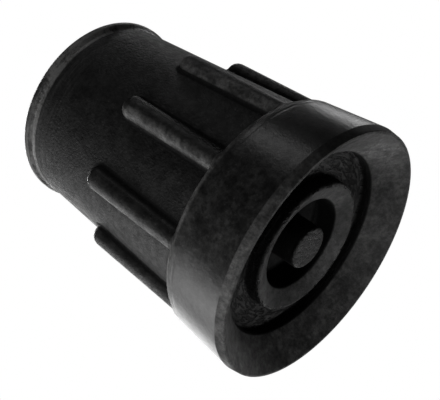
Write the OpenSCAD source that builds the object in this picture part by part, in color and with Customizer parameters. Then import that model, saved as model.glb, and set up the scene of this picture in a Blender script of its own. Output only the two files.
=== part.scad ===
// Rubber cane tip: one moulding that slips over the end of a walking stick.
// It stands on the narrow rim of its dished foot, with its socket opening upwards.
// Lengths are in millimetres; the origin is on the ground, on the socket's axis.

/* [Overall] */
// Height from the ground to the mouth
height = 46.8; // [42:0.2:56]
// Diameter of the foot at its widest, just above the ground
foot_d = 38; // [36:0.5:44]

/* [Socket] */
// Diameter of the shaft that the socket grips
shaft_d = 19; // [16:0.5:21]
// Depth of the socket from the mouth to its floor
socket_depth = 34; // [26:0.5:37]
// Rounding that leads the shaft into the mouth
lead_in = 1.2; // [0.5:0.1:2]
// Fillet round the socket's floor
socket_fillet = 1; // [0.4:0.1:3]

/* [Sleeve] */
// Diameter of the sleeve where it meets the lip
sleeve_top_d = 29.1; // [27.5:0.1:30]
// Diameter of the sleeve where it meets the collar
sleeve_base_d = 32.6; // [30.5:0.1:33]
// How far the lip stands out from the sleeve
lip_proud = 0.55; // [0.4:0.05:2]
// Height of the rolled lip round the mouth, with its sloping underside
lip_h = 1.7; // [1.6:0.1:3]
// Height of the lip's sloping underside
lip_slope = 0.6; // [0.4:0.1:0.7]
// Rounding of the lip's outer edges
lip_round = 0.5; // [0.2:0.05:0.5]
// Fillets where the sleeve runs into the lip and the collar
sleeve_fillet = 0.6; // [0.2:0.1:0.9]

/* [Collar] */
// Height of the collar's shoulder above the ground
collar_h = 11.7; // [9:0.1:14]
// Diameter of the collar at its shoulder, before it is rounded
collar_top_d = 36.2; // [35:0.1:37.5]
// Rounding of the collar's shoulder
collar_round = 1.2; // [0.4:0.1:1.4]

/* [Ribs] */
// Number of ribs round the sleeve
rib_count = 9; // [5:1:12]
// Width of a rib, which is also the diameter of its round end
rib_w = 3.3; // [2.4:0.1:4]
// How far a rib's crest stands out from the sleeve at its round end
rib_proud = 2; // [1.2:0.1:2.5]
// How far a rib's crest lies inside the collar's edge
rib_sink = 0.2; // [0.1:0.1:0.8]
// Height of the ribs' round ends above the ground
rib_top = 30; // [22:0.5:36]

/* [Foot] */
// Height of the bevel round the foot's outer edge
bevel_h = 1.4; // [0.8:0.1:2.5]
// How far the bevel goes in from the foot's widest edge
bevel_w = 0.25; // [0.1:0.05:0.8]
// Rounding of the foot's widest edge, at the top of the bevel
bevel_round = 0.3; // [0.1:0.05:0.6]
// Width of the narrow land that touches the ground, before its edges are rounded
land_w = 0.4; // [0.3:0.05:1.5]
// Rounding of the land's edges
land_round = 0.1; // [0.04:0.01:0.14]
// Depth of the dished tread where it reaches the groove
dish_depth = 3.5; // [2:0.1:4]
// Outer diameter of the groove
groove_d = 28.2; // [25:0.1:30]
// Depth of the groove's floor above the ground
groove_depth = 5; // [4.6:0.1:7]
// Outer diameter of the ring inside the groove
ring_d = 19.8; // [17:0.1:22]
// Diameter of the well inside the ring
well_d = 13.8; // [10:0.1:15]
// Depth of the well's floor above the ground
well_depth = 7.2; // [5:0.1:9]
// Height of the ring's outer crest above the ground
ring_lift = 2.6; // [0.5:0.1:3.4]
// How far the ring's face falls from its crest to the well
ring_fall = 1.3; // [0:0.1:1.4]
// Diameter of the pip at the middle of the well
pip_d = 6.4; // [4:0.1:8]
// Height of the pip's end above the ground
pip_lift = 2.7; // [0.5:0.1:3.5]
// Fillets and roundings of the groove, the ring and the pip
tread_fillet = 0.4; // [0.1:0.05:0.6]

/* [Hidden] */
$fn = 96;
arc_steps = 6;            // straight steps in each rounded corner of the section
foot_r = foot_d / 2;
ground_r = foot_r - bevel_w;
shaft_r = shaft_d / 2;
sleeve_top_r = sleeve_top_d / 2;
sleeve_base_r = sleeve_base_d / 2;
lip_z = height - lip_h;
lip_r = sleeve_top_r + lip_proud;
collar_top_r = collar_top_d / 2;
groove_r = groove_d / 2;
ring_r = ring_d / 2;
well_r = well_d / 2;
pip_r = pip_d / 2;
rib_r = rib_w / 2;
rib_foot_z = collar_h - collar_round;          // the ribs start inside the collar
rib_end_z = rib_top - rib_r;                   // centre of a rib's round end
rib_foot_crest = collar_top_r - rib_sink;
rib_end_crest = sleeve_r(rib_end_z) + rib_proud;
rib_root = rib_proud + 1;                      // the ribs reach this far in from their crests

// Radius of the sleeve's tapering wall at height z.
function sleeve_r(z) =
    sleeve_base_r + (sleeve_top_r - sleeve_base_r) * (z - collar_h) / (lip_z - collar_h);

// Corner i of a path of [radius, height, rounding] corners, as a point.
function corner(path, i) = [path[i][0], path[i][1]];

// Unit vector from corner i towards corner j.
function heading(path, i, j) =
    let (way = corner(path, j) - corner(path, i)) way / norm(way);

// Half of the angle between the two edges that meet at corner i.
function half_angle(path, i) =
    acos(heading(path, i, i - 1) * heading(path, i, i + 1)) / 2;

// How much of each edge the rounding at corner i takes up.
function reach(path, i) = path[i][2] == 0 ? 0 : path[i][2] / tan(half_angle(path, i));

// The share of the roundings at corners i and j for which the edge between them has room.
function room(path, i, j) =
    min(1, norm(corner(path, j) - corner(path, i)) / (reach(path, i) + reach(path, j)));

// The arc that rounds corner i.
function corner_arc(path, i) =
    let (
        to_last = heading(path, i, i - 1),
        to_next = heading(path, i, i + 1),
        half = half_angle(path, i),
        r = path[i][2] * min(room(path, i, i - 1), room(path, i, i + 1)),
        centre = corner(path, i) + (to_last + to_next) / norm(to_last + to_next) * r / sin(half),
        start = corner(path, i) + to_last * r / tan(half) - centre,
        turn = sign(cross(-to_last, to_next)) * (180 - 2 * half)
    )
    [for (step = [0:arc_steps])
        let (angle = turn * step / arc_steps)
        centre + [
            start.x * cos(angle) - start.y * sin(angle),
            start.x * sin(angle) + start.y * cos(angle)
        ]
    ];

// The path with each rounded corner drawn as an arc.
function rounded(path) =
    [for (i = [0:len(path) - 1])
        if (path[i][2] == 0) corner(path, i)
        else each corner_arc(path, i)
    ];

// Half of the moulding's section, from the pip round the outside to the socket's floor.
module section() {
    polygon(rounded([
        [0, pip_lift, 0],
        [pip_r, pip_lift, tread_fillet],
        [pip_r, well_depth, tread_fillet],
        [well_r, well_depth, tread_fillet],
        [well_r, ring_lift + ring_fall, tread_fillet],
        [ring_r, ring_lift, tread_fillet],
        [ring_r, groove_depth, tread_fillet],
        [groove_r, groove_depth, tread_fillet],
        [groove_r, dish_depth, tread_fillet],
        [ground_r - land_w, 0, land_round],
        [ground_r, 0, land_round],
        [foot_r, bevel_h, bevel_round],
        [collar_top_r, collar_h, collar_round],
        [sleeve_base_r, collar_h, sleeve_fillet],
        [sleeve_top_r, lip_z, sleeve_fillet],
        [lip_r, lip_z + lip_slope, lip_round],
        [lip_r, height, lip_round],
        [shaft_r, height, lead_in],
        [shaft_r, height - socket_depth, socket_fillet],
        [0, height - socket_depth, 0],
    ]));
}

// Half of a rib's section: x across the rib from its middle, y outwards up to the crest.
module half_rib_section() {
    intersection() {
        union() {
            translate([0, -rib_r]) circle(rib_r);
            translate([-rib_r, -rib_root]) square([rib_w, rib_root - rib_r]);
        }
        translate([0, -rib_root]) square([rib_r, rib_root]);
    }
}

// A half-round rib in the +X direction, laid along the line of its crest.
module rib() {
    rise = rib_end_z - rib_foot_z;
    lean = atan((rib_foot_crest - rib_end_crest) / rise);
    translate([rib_end_crest, 0, rib_end_z])
        rotate([0, -lean, 0]) {
            // the round end, spun half a turn about a line that points outwards
            rotate([0, 90, 0]) rotate([0, 0, 90]) rotate_extrude(angle = 180) half_rib_section();
            // the straight bar, down to the collar
            translate([0, 0, -rise / cos(lean)])
                linear_extrude(rise / cos(lean))
                    rotate([0, 0, -90]) {
                        half_rib_section();
                        mirror([1, 0]) half_rib_section();
                    }
        }
}

// The whole moulding.
module cane_tip() {
    color([0.09, 0.09, 0.09]) {
        rotate_extrude() section();
        for (i = [0:rib_count - 1])
            rotate([0, 0, i * 360 / rib_count]) rib();
    }
}

cane_tip();
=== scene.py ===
# %% [markdown]
# # A rubber cane tip
# The tip that slips over the foot of a walking stick is one moulding of black rubber. This lesson builds
# its skin as one mesh, gives it a dull and dusty finish with light and shade painted into its colour, and
# lights it on a white ground. The imported CAD model is the measure: the mesh repeats its sizes and never
# leaves its box.

# %% Load the frame
import bmesh
import bpy
import math
from mathutils import Matrix, Vector


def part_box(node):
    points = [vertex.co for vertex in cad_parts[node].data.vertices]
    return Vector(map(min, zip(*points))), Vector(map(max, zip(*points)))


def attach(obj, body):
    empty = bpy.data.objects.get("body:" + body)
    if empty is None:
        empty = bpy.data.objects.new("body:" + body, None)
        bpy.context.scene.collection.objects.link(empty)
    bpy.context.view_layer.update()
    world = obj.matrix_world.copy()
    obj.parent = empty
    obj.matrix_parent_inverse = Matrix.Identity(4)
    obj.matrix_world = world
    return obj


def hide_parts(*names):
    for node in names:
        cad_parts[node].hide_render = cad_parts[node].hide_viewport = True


MM = 0.001
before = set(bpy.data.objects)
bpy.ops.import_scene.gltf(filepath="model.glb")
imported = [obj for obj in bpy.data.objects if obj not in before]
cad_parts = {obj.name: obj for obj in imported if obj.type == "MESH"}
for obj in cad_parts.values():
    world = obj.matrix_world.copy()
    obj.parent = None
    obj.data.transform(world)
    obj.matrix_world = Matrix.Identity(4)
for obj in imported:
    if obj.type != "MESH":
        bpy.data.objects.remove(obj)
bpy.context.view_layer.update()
node_low, node_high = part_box("cane_tip")
print("CAD box in mm:", [round((b - a) / MM, 2) for a, b in zip(node_low, node_high)])

# %% [markdown]
# ## The driving sizes
# The tip stands on its foot with its axis on +Z. The moulding is written in millimetres, the unit in which
# such things are drawn, and the finished mesh is scaled to Blender's metres in one step. A section drawn
# once carries the whole turned form, so only radii and heights above the ground are needed.

# %% Sizes of the foot in millimetres
foot_r = 19.0        # the foot at its widest, at the top of its bevel
bevel_h = 1.4
bevel_w = 0.25
bevel_round = 0.3
ground_r = foot_r - bevel_w
land_w = 0.4         # the narrow land that touches the ground
land_round = 0.1
dish_depth = 3.5     # height to which the tread is dished where it reaches the groove
groove_r = 14.1
groove_depth = 5.0   # depths and heights here are all counted from the ground
ring_r = 9.9
ring_lift = 2.6      # height of the ring's outer crest
ring_fall = 1.3      # how far the ring's face falls from there towards the well
well_r = 6.9
well_depth = 7.2
pip_r = 3.2
pip_lift = 2.7       # height of the pip's end
tread_fillet = 0.4
print("foot:", 2 * foot_r, "mm across, land:", 2 * ground_r, "mm across")

# %% Sizes of the collar, the sleeve and the socket
height = 46.8
collar_h = 11.7      # height of the collar's shoulder
collar_top_r = 18.1
collar_round = 1.2
sleeve_base_r = 16.3
sleeve_top_r = 14.55
sleeve_fillet = 0.6
lip_h = 1.7          # the rolled lip, with its sloping underside
lip_proud = 0.55
lip_slope = 0.6
lip_round = 0.5
lip_z = height - lip_h
lip_r = sleeve_top_r + lip_proud
shaft_r = 9.5
socket_depth = 34.0
socket_floor = height - socket_depth
lead_in = 1.2
socket_fillet = 1.0
print("wall at the mouth:", round(lip_r - shaft_r, 2), "mm")

# %% Sizes of the ribs


def sleeve_r(z):
    """Radius of the sleeve's tapering wall at height z."""
    return sleeve_base_r + (sleeve_top_r - sleeve_base_r) * (z - collar_h) / (lip_z - collar_h)


rib_count = 9
rib_r = 1.65         # half of a rib's width, and the radius of its round end
rib_top = 30.0
rib_proud = 2.0      # height of the crest above the sleeve at the round end
rib_sink = 0.2       # how far the crest starts inside the collar's edge
rib_fillet = 0.12
rib_foot_z = collar_h - collar_round
rib_end_z = rib_top - rib_r
rib_foot_crest = collar_top_r - rib_sink
rib_end_crest = sleeve_r(rib_end_z) + rib_proud
print("a rib's crest runs from radius", round(rib_foot_crest, 2), "to", round(rib_end_crest, 2), "mm")

# %% [markdown]
# ## The section
# A toolmaker would turn the mould to this line. It starts at the middle of the pip under the foot, climbs
# in and out of the groove round the ring, crosses the land that meets the ground, follows the collar, the
# sleeve and the lip, and ends at the middle of the socket's floor. The arcs could be typed point by point,
# but a corner is clearer as a sharp point with its rounding, and a vertex bevel turns it into an arc.

# %% Corners as radius, height and rounding
corners = [
    (0, pip_lift, 0),
    (pip_r, pip_lift, tread_fillet),
    (pip_r, well_depth, tread_fillet),
    (well_r, well_depth, tread_fillet),
    (well_r, ring_lift + ring_fall, tread_fillet),
    (ring_r, ring_lift, tread_fillet),
    (ring_r, groove_depth, tread_fillet),
    (groove_r, groove_depth, tread_fillet),
    (groove_r, dish_depth, tread_fillet),
    (ground_r - land_w, 0, land_round),
    (ground_r, 0, land_round),
    (foot_r, bevel_h, bevel_round),
    (collar_top_r, collar_h, collar_round),
    (sleeve_base_r, collar_h, sleeve_fillet),
    (sleeve_top_r, lip_z, sleeve_fillet),
    (lip_r, lip_z + lip_slope, lip_round),
    (lip_r, height, lip_round),
    (shaft_r, height, lead_in),
    (shaft_r, socket_floor, socket_fillet),
    (0, socket_floor, 0),
]
print("section:", len(corners), "corners")

# %% Draw the section and round its corners
arc_steps = 6


def draw_section(bm):
    """Draws the section as a chain of edges in the XZ plane and rounds its corners."""
    points = [bm.verts.new((r, 0, z)) for r, z, _ in corners]
    for a, b in zip(points, points[1:]):
        bm.edges.new((a, b))
    for i in range(1, len(corners) - 1):
        here, before, after = (Vector(corners[k][:2]) for k in (i, i - 1, i + 1))
        half = (before - here).angle(after - here) / 2
        bmesh.ops.bevel(bm, geom=[points[i]], offset=corners[i][2] / math.tan(half), offset_type="OFFSET",
                        affect="VERTICES", segments=arc_steps, profile=0.5, material=-1)


section = bmesh.new()
draw_section(section)
print("section:", len(section.verts), "points")

# %% [markdown]
# ## Rows and columns
# The skin will be drawn out into ribs, so it needs rows where they lie. The long straight edges of the
# section are cut into short ones, finely on the sleeve and coarsely elsewhere, which spends the points
# where they show. Then the section is spun round the axis and welded where the turn closes.

# %% Cut the long edges
fine_row = 0.34
coarse_row = 1.3
long_edge = 10.0     # outside and above the collar, only the sleeve's edge is longer than this
outside = shaft_r + 1


def cut_rows(bm):
    """Cuts each straight stretch of the section into rows."""
    for edge in list(bm.edges):
        a, b = (v.co for v in edge.verts)
        above_collar = min(a.x, b.x) > outside and max(a.z, b.z) > collar_h + 1
        if above_collar and edge.calc_length() > long_edge:
            cuts = round(edge.calc_length() / fine_row)
        else:
            cuts = round(edge.calc_length() / coarse_row) - 1
        if cuts > 0:
            bmesh.ops.subdivide_edges(bm, edges=[edge], cuts=cuts)


cut_rows(section)
print("rows:", len(section.verts))

# %% Spin the section round the axis
columns_per_rib = 40
weld = 0.0005
bmesh.ops.spin(section, geom=section.verts[:] + section.edges[:], cent=(0, 0, 0), axis=(0, 0, 1),
               angle=2 * math.pi, steps=rib_count * columns_per_rib, use_merge=True, use_duplicate=False)
bmesh.ops.remove_doubles(section, verts=section.verts[:], dist=weld)
print("spun:", len(section.verts), "points,", len(section.faces), "faces")

# %% [markdown]
# ## The ribs
# Nine half-round ribs stand on the sleeve. On the mould they are grooves cut with a ball-nosed cutter, so
# each has a round crest, a round end and a small fillet at its root. A boolean would leave a hard and
# untidy seam there, so the skin is drawn out over each rib instead, as with a sculpting brush whose falloff
# is the rib's own profile. The profile is walked by length, so that the rows and columns stay evenly spaced
# up its flanks.

# %% The profile of a rib, walked from its crest to its root
brush_reach = 3.0


def rib_profile(crest, share):
    """Distance from the rib's middle and height above the skin, at a share of the way along the profile."""
    centre = crest - rib_r
    if centre >= rib_fillet:
        tilt, flank, root = 0.0, centre - rib_fillet, rib_r + rib_fillet
    else:
        tilt = math.asin((rib_fillet - centre) / (rib_r + rib_fillet))
        flank, root = 0.0, (rib_r + rib_fillet) * math.cos(tilt)
    turn = math.pi / 2 - tilt
    lengths = [rib_r * turn, flank, rib_fillet * turn, brush_reach - root]
    walk = share * sum(lengths)
    if walk < lengths[0]:
        angle = walk / rib_r
        return rib_r * math.sin(angle), centre + rib_r * math.cos(angle)
    walk -= lengths[0]
    if walk < lengths[1]:
        return rib_r, centre - walk
    walk -= lengths[1]
    if walk < lengths[2]:
        angle = tilt + walk / rib_fillet
        return root - rib_fillet * math.cos(angle), rib_fillet * (1 - math.sin(angle))
    return root + walk - lengths[2], 0.0


stops = [rib_profile(rib_proud, step / 4) for step in range(5)]
print("rib profile from crest to root:", [(round(x, 2), round(y, 2)) for x, y in stops])

# %% Crowd the columns near the ribs
crowding = 0.45
sector = 2 * math.pi / rib_count


def crowd_columns(bm):
    """Turns each vertex a little towards the nearest rib, which leaves a surface of revolution as it is."""
    for v in bm.verts:
        around = math.atan2(v.co.y, v.co.x)
        v.co.rotate(Matrix.Rotation(-crowding / rib_count * math.sin(rib_count * around), 3, "Z"))


crowd_columns(section)
print("columns crowded towards", rib_count, "ribs,", round(math.degrees(sector)), "degrees apart")

# %% The crest of a rib, and how the brush fades in
brush_from = collar_h - 4
brush_full = collar_h - 1


def crest_height(z):
    """Height of a rib's crest above the sleeve at height z. Past the round end it stays as it is there."""
    z = min(z, rib_end_z)
    climb = (z - rib_foot_z) / (rib_end_z - rib_foot_z)
    return rib_foot_crest + (rib_end_crest - rib_foot_crest) * climb - sleeve_r(z)


def smooth_step(low, high, x):
    """A share that eases from 0 to 1 as x goes from low to high."""
    t = min(max((x - low) / (high - low), 0), 1)
    return t * t * (3 - 2 * t)


print("a crest stands out", [round(crest_height(z), 2) for z in (collar_h, rib_end_z)], "mm at its ends")

# %% Draw the skin out over the ribs
blend_power = 10
skin_from = shaft_r + 2


def draw_out_ribs(bm):
    """Moves the skin's vertices round each rib along the rib's profile."""
    for v in bm.verts:
        radius, z = math.hypot(v.co.x, v.co.y), v.co.z
        if radius < skin_from or not brush_from < z < rib_end_z + brush_reach:
            continue
        around = math.atan2(v.co.y, v.co.x)
        middle = round(around / sector) * sector
        across = (around - middle) * sleeve_r(z)
        beyond = max(z - rib_end_z, 0)
        distance = math.hypot(across, beyond)
        if distance >= brush_reach:
            continue
        reach, lift = rib_profile(crest_height(z), distance / brush_reach)
        stretch = reach / distance if distance > 0 else 1
        across *= 1 + (stretch - 1) * smooth_step(brush_from, brush_full, z)
        extra = max(radius - sleeve_r(z), 0)
        if beyond > 0:
            z = rib_end_z + beyond * stretch
        if z > rib_foot_z:
            # a high power leaves the higher of shoulder and rib, with a small round where they meet
            radius = sleeve_r(z) + (extra ** blend_power + lift ** blend_power) ** (1 / blend_power)
        around = middle + across / sleeve_r(z)
        v.co = (radius * math.cos(around), radius * math.sin(around), z)


draw_out_ribs(section)
widest = max(math.hypot(v.co.x, v.co.y) for v in section.verts if v.co.z > collar_h)
print("above the collar the ribs reach radius", round(widest, 2), "mm")

# %% Make it a piece in metres
bmesh.ops.scale(section, vec=(MM, MM, MM), verts=section.verts[:])
bmesh.ops.recalc_face_normals(section, faces=section.faces[:])
mesh = bpy.data.meshes.new("moulded_tip")
section.to_mesh(mesh)
section.free()
for polygon in mesh.polygons:
    polygon.use_smooth = True
tip = bpy.data.objects.new("moulded_tip", mesh)
bpy.context.scene.collection.objects.link(tip)
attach(tip, "root")
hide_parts("cane_tip")
print("tip:", len(mesh.vertices), "points,", sum(len(p.vertices) - 2 for p in mesh.polygons), "triangles")

# %% [markdown]
# ## Rubber
# Moulded rubber is nearly black all through, and what shows is its skin. The collar comes smooth from the
# mould, the sleeve keeps a dull grain, and a pale bloom of dust lies unevenly on all of it, thick on the
# lip.
# Light and shade are painted into the same colour. One half of each rib is painted paler as a lit side, one
# side of the tip is painted darker as shade, and the lip on that side is painted pale as a highlight. The
# neck under the lip, the foot's bevel and the collar's shoulder are pale partly with dust and partly with
# painted highlight, and the dish of the tread is pale partly with dust and partly with painted light. The
# creases, the well and the walls of the groove are painted black as shade. These amounts were set by how
# bright each place had to look under the lamps at the end of this lesson. One flat colour would look like
# paint, and a painted image would need unwrapping. One material holds it all instead, built from small
# helpers that each add a node or two.

# %% A helper that adds nodes
rubber = bpy.data.materials.new("moulded_rubber")
rubber.use_nodes = True
shader = rubber.node_tree.nodes["Principled BSDF"]


def node(kind, inputs=None, tree=rubber.node_tree, **settings):
    """Adds a node to a tree. Inputs are set by name or number, to a value or to another node's output."""
    made = tree.nodes.new(kind)
    for name, value in settings.items():
        setattr(made, name, value)
    for name, value in (inputs or {}).items():
        if isinstance(value, bpy.types.NodeSocket):
            tree.links.new(value, made.inputs[name])
        else:
            made.inputs[name].default_value = value
    return made


print("rubber starts with:", [n.name for n in rubber.node_tree.nodes])

# %% Helpers for sums


def maths(operation, *values):
    """The output of a math node."""
    return node("ShaderNodeMath", dict(enumerate(values)), operation=operation).outputs[0]


def product(first, *rest):
    """Values multiplied together, such as masks that must all hold."""
    for value in rest:
        first = maths("MULTIPLY", first, value)
    return first


def total(first, *rest):
    """Values added together."""
    for value in rest:
        first = maths("ADD", first, value)
    return first


def hypotenuse(a, b):
    """The long side of a right-angled triangle with the sides a and b."""
    return maths("SQRT", total(maths("POWER", a, 2.0), maths("POWER", b, 2.0)))


print("helpers for sums:", [helper.__name__ for helper in (maths, product, total, hypotenuse)])

# %% Helpers for masks


def ramp(value, low, high, at_low=0.0, at_high=1.0, kind="SMOOTHSTEP"):
    """A value that goes from at_low to at_high as another goes from low to high."""
    ease = node("ShaderNodeMapRange", {0: value, 1: low, 2: high, 3: at_low, 4: at_high},
                interpolation_type=kind)
    return ease.outputs[0]


def falling(value, low, high):
    """A value that falls from 1 to 0 as another goes from low to high."""
    return ramp(value, low, high, 1.0, 0.0)


def band(value, start, end, soft):
    """1 between start and end, and 0 outside. Both edges ease over soft to either side."""
    return product(ramp(value, start - soft, start + soft), falling(value, end - soft, end + soft))


def laid_over(under, over, mask):
    """One value with another laid over it where the mask is 1."""
    return node("ShaderNodeMix", {"Factor": mask, "A": under, "B": over}).outputs[0]


def by_surface(value, *surfaces):
    """A value with others laid over it in turn, each given with its mask."""
    for mask, over in surfaces:
        value = laid_over(value, over, mask)
    return value


print("helpers for masks:", [helper.__name__ for helper in (ramp, falling, band, laid_over, by_surface)])

# %% Coordinates in millimetres, the distance to the axis and the height
coordinates = node("ShaderNodeTexCoord")
mm = node("ShaderNodeVectorMath", {0: coordinates.outputs["Object"], 1: (1 / MM, 1 / MM, 1 / MM)},
          operation="MULTIPLY").outputs[0]
x_mm, y_mm, z_mm = node("ShaderNodeSeparateXYZ", {0: mm}).outputs
r_mm = hypotenuse(x_mm, y_mm)


def mottle(scale, detail, roughness):
    """Noise on the coordinates in millimetres, with so many patches to the millimetre."""
    return node("ShaderNodeTexNoise", {"Vector": mm, "Scale": scale, "Detail": detail,
                                       "Roughness": roughness}).outputs[0]


def turned_mottle(round_scale, across_scale):
    """Noise drawn out round the axis, like marks left by turning."""
    place = node("ShaderNodeCombineXYZ", {
        0: product(maths("DIVIDE", x_mm, r_mm), round_scale),
        1: product(maths("DIVIDE", y_mm, r_mm), round_scale),
        2: product(total(r_mm, z_mm), across_scale)})
    return node("ShaderNodeTexNoise", {"Vector": place.outputs[0], "Scale": 1.0, "Detail": 2.0}).outputs[0]


print("coordinates:", len(rubber.node_tree.nodes), "nodes so far")

# %% [markdown]
# ## Where each finish lies
# A vertex group would need every patch chosen by hand, so each surface is told apart by its radius and
# height, as on a drawing. A mask is 1 on its surface and eases to 0 at its edge. The ribs need one thing
# more, the way round to the nearest rib: the angle round the axis is wrapped into the sector of one rib.

# %% Masks on the ribs
skin_r = ramp(z_mm, collar_h, lip_z, sleeve_base_r, sleeve_top_r, "LINEAR")
above_skin = maths("SUBTRACT", r_mm, skin_r)
bearing = maths("ARCTAN2", y_mm, x_mm)
across_rib = product(maths("WRAP", bearing, sector / 2, -sector / 2), skin_r)
beyond_rib = maths("MAXIMUM", maths("SUBTRACT", z_mm, rib_end_z), 0.0)
from_rib = hypotenuse(across_rib, beyond_rib)
along_ribs = product(ramp(z_mm, collar_h, collar_h + 0.2), ramp(above_skin, -0.8, -0.5))
on_ribs = product(ramp(above_skin, 0.15, 0.6), falling(from_rib, rib_r + 0.05, rib_r + 0.35), along_ribs)
# one half of each rib, the same half all round, where the colour is painted paler as a lit side
painted_lit_half = product(on_ribs, falling(across_rib, -1.1, 0.2))
on_flanks = product(band(from_rib, rib_r - 0.15, rib_r + 0.55, 0.15), along_ribs)
# the roots of the ribs, where the colour is painted black as shade
painted_crease_shade = product(on_flanks, falling(above_skin, 0.35, 0.7))
print("ribs masked from", collar_h, "to", rib_top, "mm")

# %% Masks on the collar, the neck and the lip
shoulder_z = collar_h - collar_round
inside_collar = ramp(z_mm, 5.0, collar_h, foot_r - 0.5, sleeve_base_r + 0.4)
on_collar = product(ramp(maths("SUBTRACT", r_mm, inside_collar), 0.0, 0.12),
                    falling(z_mm, collar_h, collar_h + 0.1))
on_bevel = product(on_collar, falling(z_mm, bevel_h - 0.1, bevel_h + 0.1))
on_shoulder = product(on_collar, ramp(z_mm, shoulder_z - 0.1, shoulder_z + 0.4))
in_neck = product(band(z_mm, lip_z - 0.5, lip_z + 0.3, 0.25),
                  ramp(r_mm, sleeve_top_r - 0.4, sleeve_top_r - 0.2))
on_lip = product(ramp(z_mm, lip_z - 0.2, lip_z + 0.3), ramp(r_mm, shaft_r + 0.6, shaft_r + 1.6))
near_mouth = band(z_mm, lip_z - 4.1, lip_z, 1.5)
print("collar masked up to", collar_h, "mm, lip from", round(lip_z, 2), "mm")

# %% Masks on the tread
tread_top = 8.0      # between the floors of the well and the socket
# walls and hollows are painted black as shade above this height
black_from = 3.1     # walls and hollows are black above this height
on_tread = product(falling(z_mm, tread_top, tread_top + 0.2), maths("SUBTRACT", 1.0, on_collar))
on_dish = product(on_tread, ramp(r_mm, groove_r, groove_r + 0.3))
in_groove = product(band(r_mm, ring_r, groove_r, 0.15),
                    band(z_mm, dish_depth + 0.4, groove_depth + 0.6, 0.2))
near_walls = total(band(r_mm, ring_r - 0.15, ring_r + 0.15, 0.1),
                   band(r_mm, groove_r - 0.15, groove_r + 0.15, 0.1))
# on the walls of the groove and in the well the colour is painted black as shade
on_walls = product(near_walls, band(z_mm, black_from, groove_depth - 0.1, 0.15))
in_well = product(falling(r_mm, well_r, well_r + 0.2), band(z_mm, black_from, tread_top, 0.3))
on_pip = product(falling(r_mm, pip_r - 0.1, pip_r + 0.1), falling(z_mm, pip_lift + 0.3, pip_lift + 0.6))
ring_edge = product(band(r_mm, ring_r - 0.45, ring_r + 0.1, 0.15), ramp(z_mm, ring_lift, 4.4, 1.0, 0.6))
print("tread masked up to", tread_top, "mm")

# %% The side painted darker as shade, with a painted highlight on its lip
# the colour is painted darker towards the side this points to, as shade
dark_side = (0.64, 0.77, 0.0)     # also the side that the lamps leave darkest
dust_kept_in_side_shade = 0.35
normal = node("ShaderNodeNewGeometry").outputs["True Normal"]
facing = node("ShaderNodeVectorMath", {0: normal, 1: dark_side},
              operation="DOT_PRODUCT").outputs["Value"]
# the lip on the dark side, painted pale as a highlight
painted_lit_lip = product(on_lip, ramp(facing, 0.3, 0.8))
# the tread, the lit half of each rib, the lip and the neck are left out of the painted shade
never_side_shaded = maths("MAXIMUM", maths("MAXIMUM", on_tread, painted_lit_half), maths("MAXIMUM", on_lip, in_neck))
# a factor that darkens the colour towards the dark side: painted shade
painted_side_shade = laid_over(ramp(facing, 0.6, 1.0, 1.0, dust_kept_in_side_shade), 1.0, never_side_shaded)
print("masks:", len(rubber.node_tree.nodes), "nodes so far")

# %% [markdown]
# ## Dust and painted light
# The colour runs from the black of the rubber to a pale grey, mixed by one value that carries the dust and
# the painted light and shade. Each surface has its own share of it, two sizes of noise break it into
# patches, and a finer noise strews specks over all of it. The groove has scratches round the axis, and the
# edge of the ring has pits. Both are black, so they take the dust away. Near the mouth faint pale arcs run
# round the sleeve.

# %% Patches, specks, scratches and pits
patches = ramp(mottle(0.4, 4.0, 0.65), 0.3, 0.7, 0.4, 1.6)
fine_patches = ramp(mottle(1.3, 5.0, 0.75), 0.3, 0.7, 0.4, 1.6)
specks = ramp(mottle(3.4, 1.0, 0.5), 0.68, 0.76)
broken = ramp(turned_mottle(9.0, 2.6), 0.44, 0.52)
scratched = laid_over(1.0, broken, in_groove)
old_arcs = ramp(turned_mottle(1.3, 2.4), 0.45, 0.62, 0.02, 0.09)
pits = ramp(mottle(0.75, 2.0, 0.6), 0.5, 0.56)
pitted = product(pits, ring_edge, on_tread)
print("patterns:", len(rubber.node_tree.nodes), "nodes so far")

# %% How pale the rubber is, from 0, black, to 1, pale grey, by dust and painted light
black_rubber = (0.004, 0.004, 0.0041, 1)
pale_grey = (0.302, 0.3, 0.296, 1)
dust_and_painted_light = by_surface(
    0.061,
    # the dish's share is partly dust and partly painted light
    (on_tread, 0.17), (on_dish, 0.24), (on_pip, 0.11),
    # the ribs' lit half is painted paler here: painted light
    (on_ribs, 0.1), (painted_lit_half, 0.36),
    # the bevel's and the shoulder's shares are partly dust and partly painted highlight
    (on_collar, 0.14), (on_bevel, 0.42), (on_shoulder, 0.42),
    # the lip's extra share on its dark side is a painted highlight, and the neck's is partly dust and
    # partly painted highlight
    (on_lip, 0.37), (painted_lit_lip, 0.95), (in_neck, 1.1),
    # the well, the walls of the groove and the creases get none: painted black as shade
    (in_well, 0.0), (on_walls, 0.0), (painted_crease_shade, 0.0))
# here the painted side shade darkens the colour on one side
dust_and_painted_light = product(dust_and_painted_light, painted_side_shade, patches, fine_patches, scratched, maths("SUBTRACT", 1.0, pitted))
dust_and_painted_light = total(dust_and_painted_light, product(specks, 0.13), product(old_arcs, near_mouth))
colour = node("ShaderNodeMix", {"Factor": dust_and_painted_light, "A": black_rubber, "B": pale_grey}, data_type="RGBA")
rubber.node_tree.links.new(colour.outputs["Result"], shader.inputs["Base Color"])
print("dust laid on, with patches and specks")

# %% [markdown]
# ## Sheen
# Roughness decides how wide a lamp's reflection spreads. The collar is the smoothest wide surface and draws
# a clear streak, the neck under the lip is smoother still, and the bevel and the shoulder are dull. The
# well, the walls of the groove and the flanks of the ribs are the dullest, so that no light glints there.
# These values were tuned together with the dust and the lamps, by the brightness that came out. A noise
# makes them uneven, less so on the collar.

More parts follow.
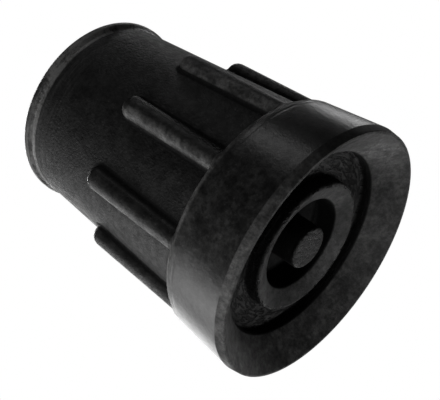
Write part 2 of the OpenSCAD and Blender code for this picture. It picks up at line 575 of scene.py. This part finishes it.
# %% How rough each surface is
rough = by_surface(
    0.52,
    (on_tread, 0.5), (on_ribs, 0.48),
    (on_collar, 0.31), (on_shoulder, 0.55), (on_bevel, 0.6),
    (on_lip, 0.42), (in_neck, 0.24),
    (in_well, 0.8), (on_walls, 0.8), (on_flanks, 0.8))
uneven = laid_over(0.16, 0.05, on_collar)
rough = total(rough, product(ramp(mottle(0.9, 3.0, 0.65), 0.3, 0.7, -0.5, 0.5), uneven))
rubber.node_tree.links.new(rough, shader.inputs["Roughness"])
print("sheen:", len(rubber.node_tree.nodes), "nodes so far")

# %% [markdown]
# ## Grain and marks
# What is too fine for the mesh goes into one bump, as a relief in millimetres: the mould's grain, a slow
# waviness, the scratches of the groove, arcs of turning near the mouth, a faint line round the collar where
# the mould closed, the torn gate mark on the pip's end and the pits in the ring's edge. One bump node takes
# their sum, which is easier to follow than a chain of bumps.

# %% Relief in millimetres
mould_line_z = 10.0
grain_depth = by_surface(0.11, (on_tread, 0.06), (on_ribs, 0.06), (on_collar, 0.025))
grain = product(mottle(2.4, 3.0, 0.65), grain_depth)
waviness = product(mottle(0.3, 2.0, 0.5), 0.05)
scratches = product(broken, in_groove, 0.3)
arcs = product(turned_mottle(1.6, 1.6), band(z_mm, lip_z - 5.1, lip_z, 1.5), 0.12)
mould_line = product(band(z_mm, mould_line_z - 0.1, mould_line_z + 0.1, 0.25), on_collar, -0.03)
gate_mark = product(mottle(1.6, 2.0, 0.7), on_pip, 0.45)
pit_depth = product(pitted, -0.25)
relief = total(grain, waviness, scratches, arcs, mould_line, gate_mark, pit_depth)
bump = node("ShaderNodeBump", {"Height": relief, "Strength": 1.0, "Distance": MM})
rubber.node_tree.links.new(bump.outputs[0], shader.inputs["Normal"])
mesh.materials.append(rubber)
print("rubber:", len(rubber.node_tree.nodes), "nodes")

# %% [markdown]
# ## Camera
# The tip is seen from below its foot, from so near that the far end of the sleeve looks smaller than the
# foot. The camera stands about 124 mm away with a lens of 70 mm, and is rolled so that the axis climbs to
# the upper left. The lens follows from a focal length that is given in pixels of a render 440 wide. The
# camera's place, aim and roll were fitted by another program too, and rounded.

# %% Place the camera
render_w = 440
focal_pixels = 860
camera = bpy.data.cameras.new("camera")
camera.sensor_width = 36
camera.lens = focal_pixels * camera.sensor_width / render_w
camera.clip_start = 0.01
eye = Vector((103.55, -17.5, -47.2)) * MM
aim = Vector((0, -1.3, 18.55)) * MM
roll = math.radians(-55.87)
look = (aim - eye).to_track_quat("-Z", "Y").to_matrix().to_4x4()
viewer = bpy.data.objects.new("camera", camera)
viewer.matrix_world = Matrix.Translation(eye) @ look @ Matrix.Rotation(roll, 4, "Z")
bpy.context.scene.collection.objects.link(viewer)
bpy.context.scene.camera = viewer
print("camera:", round((aim - eye).length / MM), "mm from the tip, lens", round(camera.lens), "mm")

# %% [markdown]
# ## Floor and backdrop
# The floor is a pale sheet under the foot. The camera looks up at the foot from below, so the sheet shows
# its upper side only, and it blocks no light: lamps below it light the foot as if the tip were held over
# them, while from above the floor still shows the tip's shadow. Only the camera sees it, so it throws no
# light back. Away from the tip it fades into the backdrop, which is plain white to the camera and lights
# almost nothing.

# %% Lay the floor
floor_half = 1.0
floor_gap = 0.00002  # keeps the sheet from touching the land
sheet = bmesh.new()
bmesh.ops.create_grid(sheet, x_segments=1, y_segments=1, size=floor_half)
bmesh.ops.translate(sheet, verts=sheet.verts[:], vec=(0, 0, -floor_gap))
floor_mesh = bpy.data.meshes.new("floor")
sheet.to_mesh(floor_mesh)
sheet.free()
floor = bpy.data.objects.new("floor", floor_mesh)
bpy.context.scene.collection.objects.link(floor)
floor.visible_shadow = False
floor.visible_diffuse = False
floor.visible_glossy = False
floor.visible_transmission = False
print("floor:", 2 * floor_half, "m wide")

# %% Paint the floor
fade_start = 0.05
fade_end = 0.3
pale = bpy.data.materials.new("pale_floor")
pale.use_nodes = True
paint = pale.node_tree
paint.nodes.clear()
matt = node("ShaderNodeBsdfDiffuse", {"Color": (0.82, 0.82, 0.82, 1)}, paint)
clear = node("ShaderNodeBsdfTransparent", {}, paint)
side = node("ShaderNodeNewGeometry", {}, paint)
place = node("ShaderNodeTexCoord", {}, paint)
away = node("ShaderNodeVectorMath", {0: place.outputs["Object"]}, paint, operation="LENGTH")
fade = node("ShaderNodeMapRange", {0: away.outputs["Value"], 1: fade_start, 2: fade_end}, paint,
            interpolation_type="SMOOTHSTEP")
unseen = node("ShaderNodeMath", {0: fade.outputs["Result"], 1: side.outputs["Backfacing"]}, paint,
              operation="MAXIMUM")
either = node("ShaderNodeMixShader", {0: unseen.outputs[0], 1: matt.outputs[0], 2: clear.outputs[0]}, paint)
node("ShaderNodeOutputMaterial", {"Surface": either.outputs[0]}, paint)
floor_mesh.materials.append(pale)
print("floor fades from", fade_start, "to", fade_end, "m out")

# %% Backdrop
faint = 0.004
world = bpy.data.worlds.new("studio")
world.use_nodes = True
bpy.context.scene.world = world
studio = world.node_tree
background = studio.nodes["Background"]
background.inputs["Color"].default_value = (1, 1, 1, 1)
rays = node("ShaderNodeLightPath", {}, studio)
strength = node("ShaderNodeMapRange", {0: rays.outputs["Is Camera Ray"], 3: faint, 4: 1.0}, studio)
studio.links.new(strength.outputs["Result"], background.inputs["Strength"])
bpy.context.scene.view_settings.view_transform = "Standard"
print("backdrop: white to the camera,", faint, "to everything else")

# %% [markdown]
# ## Lamps
# Black rubber shows its form by what it reflects, so it needs many lamps where a pale thing needs one.
# Sixteen round softboxes stand half a metre from the tip. Each is given by the direction in which it
# stands, and by the brightness that a white card facing it would have from it alone. The key stands behind
# and to the left, so that it grazes the sleeve and draws bright lines along the collar and the ribs. The
# others fill in the sides, and a few stand below the floor's level to reach the tread.
#
# Another program fitted lamps to the brightness that was wanted. Twelve places and seven levels are its
# results, rounded, and four places and nine levels were set one by one.
# The light is uneven: all the lamps together light a white card to 0.94 where it is lit best, to 0.19 where
# it faces the camera, and to 0.02 where it is lit least. For other uses, start from fewer and evener lamps.

# %% A softbox
tip_middle = Vector((0, 0, height / 2 * MM))
lamp_distance = 0.5
small_box = 0.14
wide_box = 0.27


def softbox(name, azimuth, elevation, level, width=small_box):
    """A round lamp that faces the tip. Azimuth goes from +X towards +Y. A white card is lit to level."""
    a, e = math.radians(azimuth), math.radians(elevation)
    away = Vector((math.cos(a) * math.cos(e), math.sin(a) * math.cos(e), math.sin(e)))
    lamp = bpy.data.lights.new(name, "AREA")
    lamp.shape = "DISK"
    lamp.size = width
    lamp.energy = level * (math.pi * lamp_distance) ** 2
    stand = bpy.data.objects.new(name, lamp)
    stand.rotation_mode = "QUATERNION"
    stand.rotation_quaternion = away.to_track_quat("Z", "Y")
    stand.location = tip_middle + away * lamp_distance
    bpy.context.scene.collection.objects.link(stand)


print("a softbox of level 1 has", round((math.pi * lamp_distance) ** 2, 2), "watts")

# %% Set the softboxes
softbox("key", -159, 30, 0.18, wide_box)
softbox("left", -99, 20, 0.16, wide_box)
softbox("left_high", -94, 34, 0.09, wide_box)
softbox("back_left", -127, 32, 0.06, wide_box)
softbox("front_left", -50, -5, 0.19, wide_box)
softbox("behind", 146, -2, 0.10)
softbox("behind_low", -166, -16, 0.07)
softbox("behind_high", -162, 57, 0.27)
softbox("behind_right", 153, 47, 0.01)
softbox("under_behind", 180, -65, 0.10)
softbox("under_left", -83, -55, 0.08)
softbox("right_low", 162, -18, 0.024)
softbox("right", 122, 25, 0.048)
softbox("right_high", 112, 46, 0.03)
softbox("front_right", 51, 38, 0.034)
softbox("top", -170, 76, 0.20)
print("lamps:", len(bpy.data.lights))
